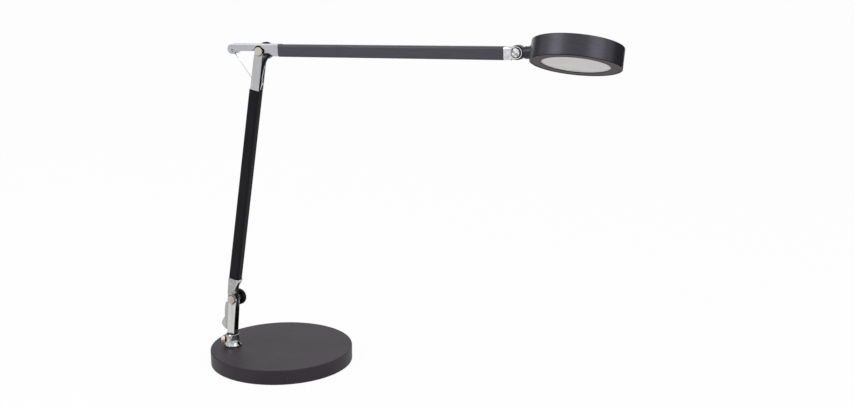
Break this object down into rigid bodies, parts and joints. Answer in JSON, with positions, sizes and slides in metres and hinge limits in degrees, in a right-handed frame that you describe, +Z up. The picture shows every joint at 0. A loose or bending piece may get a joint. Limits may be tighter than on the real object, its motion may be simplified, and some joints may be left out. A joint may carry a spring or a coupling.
{
  "type": "desk lamp",
  "caption": "Desk lamp with a round weighted base, a swivelling post, two spring-balanced arms and a flat round LED head on a hinge and a turning neck.",
  "frame": {"origin": "centre of the base's underside, on the surface that the lamp stands on", "axes": "+Z up; +X the way the lower arm leans and the upper arm points in the stored pose; the arms lie in a plane parallel to XZ"},
  "size_m": [0.6567, 0.22, 0.5332],
  "materials": {
    "base_black": "satin",
    "cast_iron": "rough",
    "soft_pad": "matte",
    "steel": "brushed",
    "wire": "satin",
    "chrome": "polished",
    "satin_chrome": "satin",
    "satin_casting": "satin",
    "black_plastic": "matte",
    "brass": "knurled",
    "cream_cap": "gloss",
    "tube_black": "satin black paint",
    "head_black": "satin black paint",
    "bezel_black": "matte",
    "diffuser_white": "frosted",
    "lead_black": "matte",
    "bare_aluminium": "mill",
    "chip_yellow": "gloss"
  },
  "bodies": {
    "base": {"base_cover": "base_black", "base_weight": "cast_iron", "base_pad": "soft_pad", "base_screws": "steel", "foot": "chrome", "foot_gasket": "soft_pad", "foot_nut": "steel", "swivel_bush": "black_plastic", "base_gland": "soft_pad", "base_lead": "lead_black"},
    "clamp_screw": {"thumb_screw": "brass", "thumb_washer": "black_plastic"},
    "post": {"swivel_pin": "steel", "swivel_clip": "steel", "post": "chrome", "anchor_pin": "steel", "post_lead": "lead_black"},
    "lower_arm": {"lower_bracket": "satin_chrome", "lower_tube": "tube_black", "elbow_bracket": "satin_chrome", "wire_pins": "steel", "lower_spring": "steel", "upper_spring": "steel", "spring_anchor": "black_plastic", "spring_wires": "wire", "arm_lead": "lead_black", "joint_axles": "steel", "joint_caps": "cream_cap", "joint_hubs": "chrome", "lower_joint_lead": "lead_black", "lower_wire": "wire"},
    "lower_knob": {"lower_knob": "black_plastic"},
    "elbow_knob": {"elbow_knob": "black_plastic"},
    "upper_arm": {"elbow_casting": "satin_casting", "lever_pin": "steel", "cable_guide": "black_plastic", "upper_tube": "tube_black", "head_fork": "satin_casting", "head_hinge_pin": "steel", "hinge_caps": "satin_casting", "hinge_rings": "black_plastic", "upper_lead": "lead_black", "elbow_lead": "lead_black", "elbow_wire": "wire"},
    "head_link": {"knuckle": "head_black", "roll_clip": "steel", "head_joint_lead": "lead_black"},
    "head": {"neck": "head_black", "neck_nut": "steel", "head_housing": "head_black", "bezel": "bezel_black", "diffuser": "diffuser_white", "heat_sink": "bare_aluminium", "led_board": "bare_aluminium", "led_chips": "chip_yellow", "head_screws": "steel", "switch_module": "black_plastic", "terminal_block": "black_plastic", "head_lead": "lead_black"},
    "push_button": {"push_button": "bezel_black"}
  },
  "joints": [
    {"name": "base_swivel", "type": "hinge", "parent": "base", "child": "post", "pos_m": [-0.06749, -0.0359, 0.0429], "axis": [0, 0, 1], "range_deg": [-165, 165]},
    {"name": "clamp_screw_turn", "type": "hinge", "parent": "base", "child": "clamp_screw", "pos_m": [-0.06749, -0.0359, 0.0334], "axis": [-0.8829, -0.4696, 0], "range_deg": [-180, 180]},
    {"name": "lower_arm_tilt", "type": "hinge", "parent": "post", "child": "lower_arm", "pos_m": [-0.06159, -0.0359, 0.1007], "axis": [0, 1, 0], "range_deg": [-35, 60], "deforming": ["lower_joint_lead", "lower_wire"]},
    {"name": "lower_knob_turn", "type": "hinge", "parent": "lower_arm", "child": "lower_knob", "pos_m": [-0.06159, -0.0359, 0.1007], "axis": [0, 1, 0], "range_deg": [-180, 180]},
    {"name": "elbow", "type": "hinge", "parent": "lower_arm", "child": "upper_arm", "pos_m": [0.00571, -0.0359, 0.48556], "axis": [0, -1, 0], "range_deg": [-50, 35], "deforming": ["elbow_lead", "elbow_wire"]},
    {"name": "elbow_knob_turn", "type": "hinge", "parent": "lower_arm", "child": "elbow_knob", "pos_m": [0.00571, -0.0359, 0.48556], "axis": [0, 1, 0], "range_deg": [-180, 180]},
    {"name": "head_pitch", "type": "hinge", "parent": "upper_arm", "child": "head_link", "pos_m": [0.4077, -0.0359, 0.50158], "axis": [0, -1, 0], "range_deg": [-85, 60], "deforming": ["head_joint_lead"]},
    {"name": "head_roll", "type": "hinge", "parent": "head_link", "child": "head", "pos_m": [0.4077, -0.0359, 0.50158], "axis": [0.9997, 0, 0.0251], "range_deg": [-66, 104]},
    {"name": "button_press", "type": "slide", "parent": "head", "child": "push_button", "axis": [-0.0238, 0.3211, 0.9467], "range_m": [-0.0008, 0], "stiffness_N_per_m": 1500}
  ]
}
